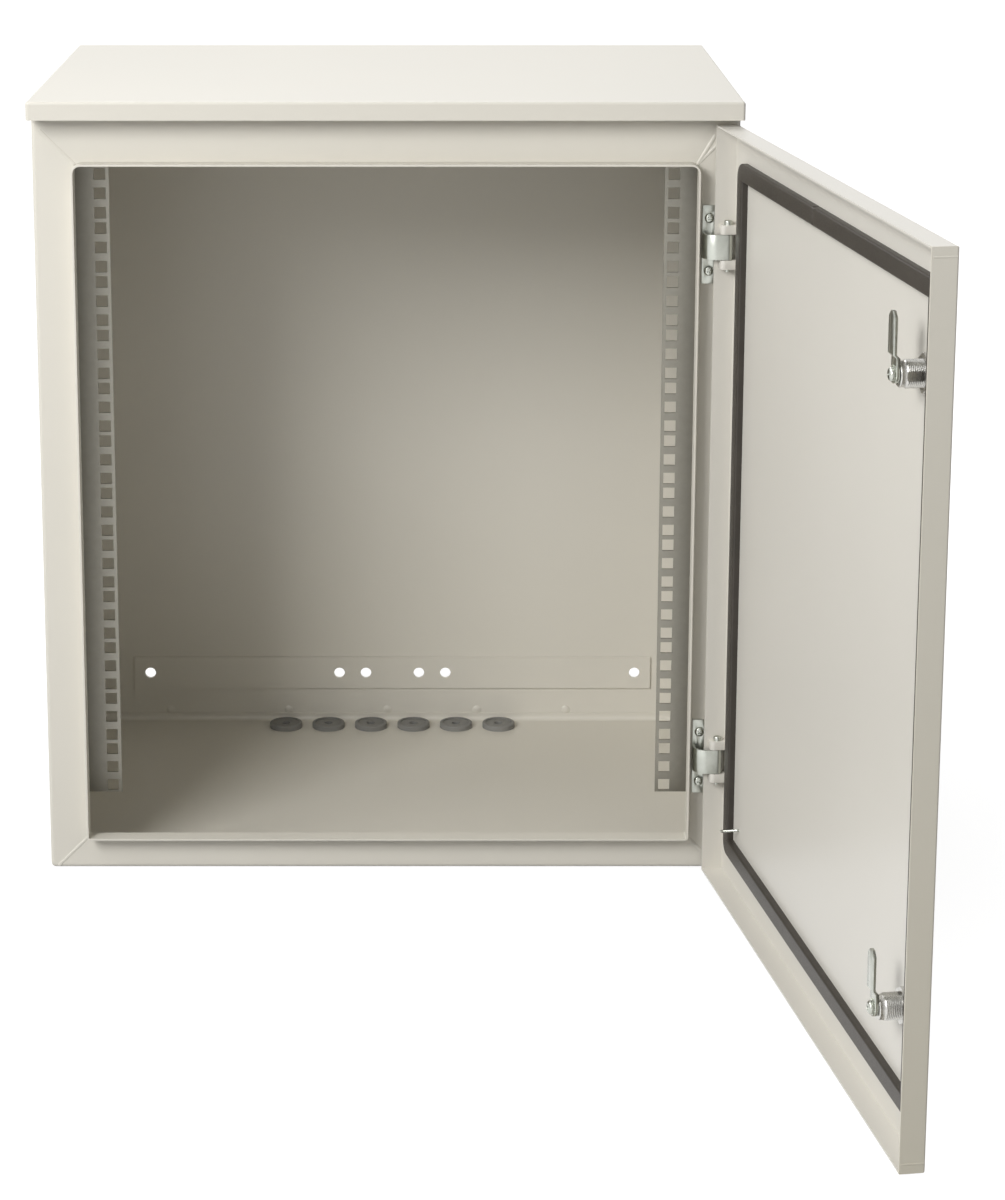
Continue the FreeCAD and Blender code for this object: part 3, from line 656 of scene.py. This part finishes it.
def cut_flats(data, half, across):
    """Slice two flats off a shape that lies along Z, one on each side along the given direction."""
    for side in (-1, 1):
        geometry = data.verts[:] + data.edges[:] + data.faces[:]
        sliced = bmesh.ops.bisect_plane(
            data, geom=geometry, plane_co=side * half * across, plane_no=side * across, clear_outer=True
        )
        rim = [item for item in sliced["geom_cut"] if isinstance(item, bmesh.types.BMEdge)]
        bmesh.ops.contextual_create(data, geom=rim)


def lock_bodies():
    """Threaded lock barrel with two flats, a plain collar at its end and a keyed head outside."""
    for name in ("upper", "lower"):
        low, high = closed_box(name + "_lock_body")
        middle = (low + high) / 2
        length = high.y - low.y
        door_face = length - BARREL_LENGTH - SHEET
        barrel = [(0, door_face - OVERLAP), (BARREL_RADIUS - THREAD_DEPTH, door_face - OVERLAP)]
        barrel += thread_profile(BARREL_RADIUS, door_face + SHEET, length - COLLAR_LENGTH)
        barrel += [
            (COLLAR_RADIUS, length - COLLAR_LENGTH), (COLLAR_RADIUS, length - COLLAR_CHAMFER),
            (COLLAR_RADIUS - COLLAR_CHAMFER, length), (0, length),
        ]
        body = turned(barrel, FINE_TURN)
        across = Vector((1, 0, 0)) if name in UPRIGHT_FLATS else Vector((0, 1, 0))
        cut_flats(body, BARREL_FLATS / 2, across)
        bmesh.ops.recalc_face_normals(body, faces=body.faces)
        join(body, lock_head(door_face))
        body.transform(OPEN_DOOR @ outward_frame((middle.x, low.y, middle.z), (0, 1, 0)))
        make_piece(name + "_lock_barrel", body, LOCK_NICKEL, "door", (name + "_lock_body",))


def lock_head(height):
    """Round head on the outside of the door with a well for a double-bit key."""
    rim = [
        (0, KEY_WELL_DEPTH), (KEY_WELL_RADIUS, KEY_WELL_DEPTH), (KEY_WELL_RADIUS, KEY_WELL_CHAMFER),
        (KEY_WELL_RADIUS + KEY_WELL_CHAMFER, 0), (HEAD_RADIUS - HEAD_ROUND, 0), (HEAD_RADIUS, HEAD_ROUND),
        (HEAD_RADIUS, height - HEAD_GAP), (0, height - HEAD_GAP),
    ]
    head = turned(rim, FINE_TURN)
    pin = turned([
        (0, KEY_PIN_TOP), (KEY_PIN_RADIUS - KEY_PIN_CHAMFER, KEY_PIN_TOP),
        (KEY_PIN_RADIUS, KEY_PIN_TOP + KEY_PIN_CHAMFER), (KEY_PIN_RADIUS, KEY_WELL_DEPTH),
        (0, KEY_WELL_DEPTH),
    ], SMALL_TURN)
    wings = block(
        (-KEY_WELL_RADIUS, -KEY_WING_HALF, KEY_WING_TOP), (KEY_WELL_RADIUS, KEY_WING_HALF, KEY_WELL_DEPTH)
    )
    join(head, pin)
    join(head, wings)
    return head


def softened_copy(node, name, finish, body, width):
    """Copy of a node with its sharp edges rounded by a small width."""
    data = bmesh.new()
    data.from_mesh(NODES[node].data)
    bmesh.ops.remove_doubles(data, verts=data.verts, dist=SAME_POINT)
    bmesh.ops.dissolve_limit(data, angle_limit=FLAT_ANGLE, verts=data.verts, edges=data.edges)
    sharp = [
        edge for edge in data.edges if edge.is_manifold and edge.calc_face_angle(0) > ROUNDED_ANGLE
    ]
    bmesh.ops.bevel(
        data, geom=sharp, offset=width, offset_type="OFFSET", segments=2, profile=0.5, affect="EDGES",
        clamp_overlap=True, material=-1
    )
    make_piece(name, data, finish, body, (node,))


def rounded_metalwork():
    """Hinge leaves, lugs, nuts and cams with the small edge rounding of stamped and machined parts."""
    for name in ("upper", "lower"):
        leaf, lugs, nut, cam = (name + part for part in ("_hinge_leaf", "_door_lugs", "_lock_nut", "_cam"))
        softened_copy(leaf, name + "_leaf", HINGE_ZINC, "cabinet", STAMPED_EDGE)
        softened_copy(lugs, name + "_lugs", DOOR_PAINT, "door", LUG_EDGE)
        softened_copy(nut, name + "_nut", LOCK_NICKEL, "door", STAMPED_EDGE)
        softened_copy(cam, name + "_cam_blade", CAM_STEEL, cam, CAM_EDGE)


def ring_path(half, low, high, radius, steps):
    """Closed path round a rectangle with rounded corners and a butt joint in its top run.

    Each point is x, z, the outward turn, and how full the strip's section is there.
    """
    corners = (
        (half - radius, high - radius, 0), (-half + radius, high - radius, math.pi / 2),
        (-half + radius, low + radius, math.pi), (half - radius, low + radius, 1.5 * math.pi),
    )
    points = []
    for index, (x, z, start) in enumerate(corners):
        if index == 1:
            for offset, fullness in BUTT_JOINT:
                points.append((BUTT_JOINT_X - offset, high, start, fullness))
        for step in range(steps + 1):
            turn = start + math.pi / 2 * step / steps
            points.append((x + radius * math.cos(turn), z + radius * math.sin(turn), turn, 1))
    return points


def foam_gasket():
    """Foam strip round the inside of the door, with a flat face and rounded corners."""
    low, high = closed_box("door_gasket")
    half = GASKET_WIDTH / 2
    height = high.y - low.y
    data = bmesh.new()
    loops = []
    for x, z, turn, fullness in ring_path(high.x, low.z, high.z, GASKET_CORNER, GASKET_CORNER_STEPS):
        out = Vector((math.cos(turn), 0, math.sin(turn)))
        centre = Vector((x, low.y, z)) - out * half
        section = foam_section(half * fullness, height * fullness)
        places = [centre + out * across + Vector((0, up, 0)) for across, up in section]
        loops.append([data.verts.new(place) for place in places])
    rings = []
    for loop in loops:
        rings.append([data.edges.new((loop[index - 1], loop[index])) for index in range(len(loop))])
    for index, ring in enumerate(rings):
        bmesh.ops.bridge_loops(data, edges=rings[index - 1] + ring)
    data.transform(OPEN_DOOR)
    make_piece("foam_gasket", data, GASKET_FOAM, "door", ("door_gasket",))


def foam_section(half, height):
    """Closed section of the foam strip as (across, up) points, with its two upper corners rounded."""
    points = [(-half, 0.0)]
    for side in (-1, 1):
        for step in range(FOAM_STEPS + 1):
            turn = math.pi / 2 * (step / FOAM_STEPS if side < 0 else 1 - step / FOAM_STEPS)
            across = half - FOAM_ROUND + FOAM_ROUND * math.cos(turn)
            points.append((side * across, height - FOAM_ROUND + FOAM_ROUND * math.sin(turn)))
    points.append((half, 0.0))
    return points


def weld_beads():
    """Painted weld beads in the frame's four mitres, from the lip to the outer bend, and a second run."""
    inner_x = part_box("frame_right")[0].x + LIP_THICKNESS
    lip_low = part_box("frame_bottom")[1].z
    lip_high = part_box("frame_top")[0].z
    out = Vector((0, -1, 0))
    beads = bmesh.new()
    for side in (-1, 1):
        for start_z, up in ((lip_low - LIP_THICKNESS, -1), (lip_high + LIP_THICKNESS, 1)):
            start = Vector((side * inner_x, FLANGE_FRONT, start_z))
            join(beads, bead(start, Vector((side, 0, up)), out, BEAD_LENGTH, BEAD_HALF_WIDTH))
    corner = Vector((inner_x, FLANGE_FRONT, lip_high + LIP_THICKNESS))
    join(beads, bead(corner, Vector(STRAY_RUN), out, STRAY_LENGTH, STRAY_HALF_WIDTH))
    make_piece("frame_weld_beads", beads, BODY_PAINT, "cabinet")


def door_corner_seams():
    """Ground weld lines where the door's top and bottom returns lap over its side returns."""
    low, high = closed_box("door_panel")
    depth = high.y - low.y - 2 * SEAM_INSET
    seams = bmesh.new()
    for side, x in ((-1, low.x), (1, high.x)):
        for z in (low.z + SEAM_DISTANCE, high.z - SEAM_DISTANCE):
            start = Vector((x, low.y + SEAM_INSET, z))
            join(seams, bead(start, Vector((0, 1, 0)), Vector((side, 0, 0)), depth, SEAM_HALF_WIDTH))
    seams.transform(OPEN_DOOR)
    make_piece("door_corner_seams", seams, DOOR_PAINT, "door")


def bead(start, run, out, length, half_width):
    """Low half-round ridge along a line on a face, sunk halfway into it."""
    data = bmesh.new()
    circle = bmesh.ops.create_circle(data, cap_ends=True, radius=half_width, segments=BEAD_TURN)
    bmesh.ops.scale(data, vec=(1, BEAD_FLATNESS, 1), verts=circle["verts"])
    grown = bmesh.ops.extrude_face_region(data, geom=list(data.faces))
    far = [item for item in grown["geom"] if isinstance(item, bmesh.types.BMVert)]
    bmesh.ops.translate(data, vec=(0, 0, length), verts=far)
    run = run.normalized()
    turn = Matrix((out.cross(run), out, run)).transposed().to_4x4()
    data.transform(Matrix.Translation(start) @ turn)
    return data


def tack_marks():
    """Low round marks of the tack welds, in a row on the back panel just above the floor."""
    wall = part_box("back_panel")[0].y
    shoulder = (TACK_SHOULDER[0] * TACK_RADIUS, TACK_SHOULDER[1] * TACK_HEIGHT)
    marks = bmesh.new()
    for place in TACK_PLACES:
        dome = turned([(0, 0), (TACK_RADIUS, 0), shoulder, (0, TACK_HEIGHT)], DOME_TURN)
        dome.transform(outward_frame(Vector((place, wall, TACK_LEVEL)), (0, -1, 0)))
        join(marks, dome)
    make_piece("tack_weld_marks", marks, BODY_PAINT, "cabinet")


def earth_stud():
    """Threaded earth stud on the inside of the door."""
    low, high = closed_box("door_earth_stud")
    middle = (low + high) / 2
    length = high.y - low.y
    radius = (high.x - low.x) / 2
    points = [(0, 0), (radius, 0)]
    count = int((length - 2 * STUD_PLAIN_END) / STUD_PITCH)
    for index in range(count):
        height = STUD_PLAIN_END + index * STUD_PITCH
        points += [(radius - STUD_THREAD_DEPTH, height), (radius, height + STUD_PITCH / 2)]
    points += [(radius, length - STUD_CHAMFER), (radius - STUD_CHAMFER, length), (0, length)]
    stud = turned(points, TINY_TURN)
    stud.transform(OPEN_DOOR @ outward_frame((middle.x, low.y, middle.z), (0, 1, 0)))
    make_piece("threaded_earth_stud", stud, CAM_STEEL, "door", ("door_earth_stud",))


def floor_and_light():
    """Pale floor, softboxes in front, above, behind and at the right, and a white surround."""
    ground = bmesh.new()
    bmesh.ops.create_grid(ground, x_segments=1, y_segments=1, size=FLOOR_SIZE)
    bmesh.ops.translate(ground, vec=(0, 0, -FLOOR_DROP), verts=ground.verts)
    mesh = bpy.data.meshes.new("studio_floor")
    ground.to_mesh(mesh)
    ground.free()
    mesh.materials.append(floor_finish())
    made = bpy.data.objects.new("studio_floor", mesh)
    bpy.context.scene.collection.objects.link(made)
    for name, place, aim, size, power in LAMPS:
        lamp = bpy.data.lights.new(name, "AREA")
        lamp.shape = "SQUARE"
        lamp.size = size
        lamp.energy = power
        holder = bpy.data.objects.new(name, lamp)
        holder.location = place
        direction = Vector(aim) - Vector(place)
        holder.rotation_euler = direction.to_track_quat("-Z", "Y").to_euler()
        holder.visible_camera = False
        bpy.context.scene.collection.objects.link(holder)
    surround()


def seen_rays(tree):
    """One for rays from the camera and for those that metal and glass reflect or pass, else zero."""
    rays = add_node(tree, "ShaderNodeLightPath")
    either = add_node(tree, "ShaderNodeMath", operation="MAXIMUM")
    tree.links.new(rays.outputs["Is Camera Ray"], either.inputs[0])
    tree.links.new(rays.outputs["Is Glossy Ray"], either.inputs[1])
    all_three = add_node(tree, "ShaderNodeMath", operation="MAXIMUM")
    tree.links.new(either.outputs[0], all_three.inputs[0])
    tree.links.new(rays.outputs["Is Transmission Ray"], all_three.inputs[1])
    return all_three.outputs[0]


def floor_finish():
    """Pale floor that looks white, with a soft shadow round the cabinet: partly cast by the lamps, partly painted
    shade where its glow is dimmed, and painted shade under the cabinet where its glow stops.
    """
    material = bpy.data.materials.new("studio_floor")
    material.use_nodes = True
    tree = material.node_tree
    shader = tree.nodes["Principled BSDF"]
    shader.inputs["Base Color"].default_value = FLOOR_GREY
    shader.inputs["Roughness"].default_value = FLOOR_ROUGHNESS
    shader.inputs["Emission Color"].default_value = WHITE
    place = add_node(tree, "ShaderNodeTexCoord")
    stretch = add_node(tree, "ShaderNodeMapping")
    stretch.inputs["Scale"].default_value = (1 / FOOT_HALF[0], 1 / FOOT_HALF[1], 0)
    tree.links.new(place.outputs["Object"], stretch.inputs["Vector"])
    reach = add_node(tree, "ShaderNodeVectorMath", operation="LENGTH")
    tree.links.new(stretch.outputs["Vector"], reach.inputs[0])
    # Glow dimmed near the cabinet: painted shade round its foot
    glow = add_node(tree, "ShaderNodeMapRange")
    set_inputs(glow, From_Min=FOOT_REACH[0], From_Max=FOOT_REACH[1])
    set_inputs(glow, To_Min=FLOOR_GLOW[0], To_Max=FLOOR_GLOW[1])
    tree.links.new(reach.outputs["Value"], glow.inputs["Value"])
    seen = add_node(tree, "ShaderNodeMath", operation="MULTIPLY")
    tree.links.new(seen_rays(tree), seen.inputs[0])
    tree.links.new(glow.outputs["Result"], seen.inputs[1])
    # No glow under the cabinet: painted shade there
    under = add_node(tree, "ShaderNodeMath", operation="GREATER_THAN")
    under.inputs[1].default_value = PAINTED_SHADE_REACH
    tree.links.new(reach.outputs["Value"], under.inputs[0])
    shown = add_node(tree, "ShaderNodeMath", operation="MULTIPLY")
    tree.links.new(seen.outputs[0], shown.inputs[0])
    tree.links.new(under.outputs[0], shown.inputs[1])
    tree.links.new(shown.outputs[0], shader.inputs["Emission Strength"])
    return material


def surround():
    """World that is white to the camera and in reflections, and a softer grey as light."""
    world = bpy.data.worlds.new("studio_surround")
    bpy.context.scene.world = world
    world.use_nodes = True
    tree = world.node_tree
    background = tree.nodes["Background"]
    background.inputs["Color"].default_value = WHITE
    level = add_node(tree, "ShaderNodeMapRange")
    set_inputs(level, To_Min=SURROUND_LIGHT, To_Max=1.0)
    tree.links.new(seen_rays(tree), level.inputs["Value"])
    tree.links.new(level.outputs["Result"], background.inputs["Strength"])


def camera():
    """Camera at the photograph's place."""
    data = bpy.data.cameras.new("photograph_camera")
    data.sensor_width = SENSOR_WIDTH
    data.lens = CAMERA_LENS
    data.shift_x, data.shift_y = CAMERA_SHIFT
    data.clip_end = CAMERA_REACH
    made = bpy.data.objects.new("photograph_camera", data)
    made.location = CAMERA_PLACE
    made.rotation_euler = (CAMERA_PITCH, 0, 0)
    bpy.context.scene.collection.objects.link(made)
    bpy.context.scene.camera = made
    bpy.context.scene.view_settings.view_transform = "Standard"


camera()
floor_and_light()
finish_frame_nodes()
hinge_screws()
lock_screws()
lock_bodies()
rounded_metalwork()
foam_gasket()
weld_beads()
door_corner_seams()
tack_marks()
earth_stud()
